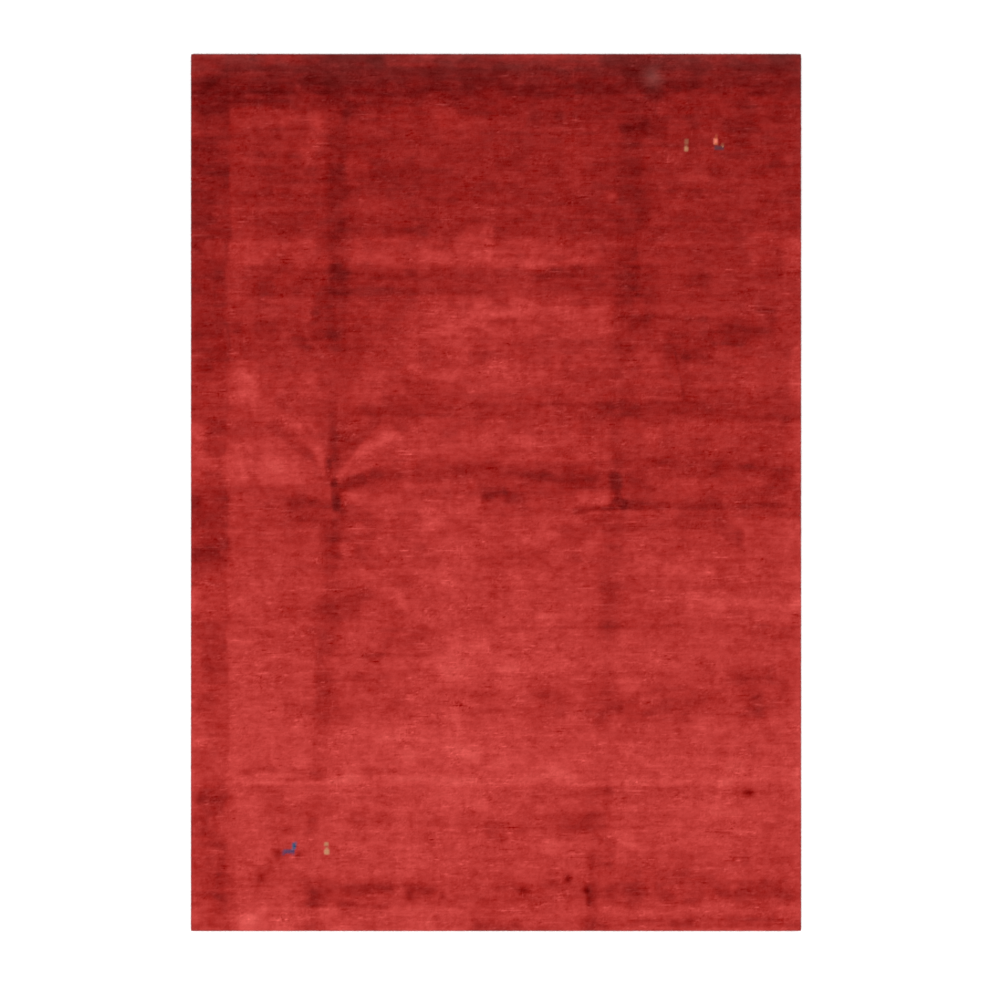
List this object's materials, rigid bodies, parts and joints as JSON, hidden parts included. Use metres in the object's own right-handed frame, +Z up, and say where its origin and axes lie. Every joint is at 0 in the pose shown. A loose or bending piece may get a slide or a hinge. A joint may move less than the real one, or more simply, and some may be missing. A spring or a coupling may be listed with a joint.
{
  "type": "gabbeh rug",
  "caption": "Flat hand-knotted wool rug with a deep cut red pile on a woven ground, soft fold creases along and across it, and small knotted goats and figures; lies on a floor.",
  "frame": {"origin": "on the floor, under the middle of the rug", "axes": "+Y along the rug's length, towards its darker end; +X across it; +Z up, out of the pile"},
  "size_m": [1.6, 2.3, 0.0175],
  "materials": {
    "wool_pile": "cut wool pile, matt with a soft sheen, streaked along the rows of knots",
    "woven_ground": "flat-woven wool ground with the backs of the knots showing, matt"
  },
  "bodies": {
    "root": {"rug": "wool_pile"}
  },
  "joints": []
}
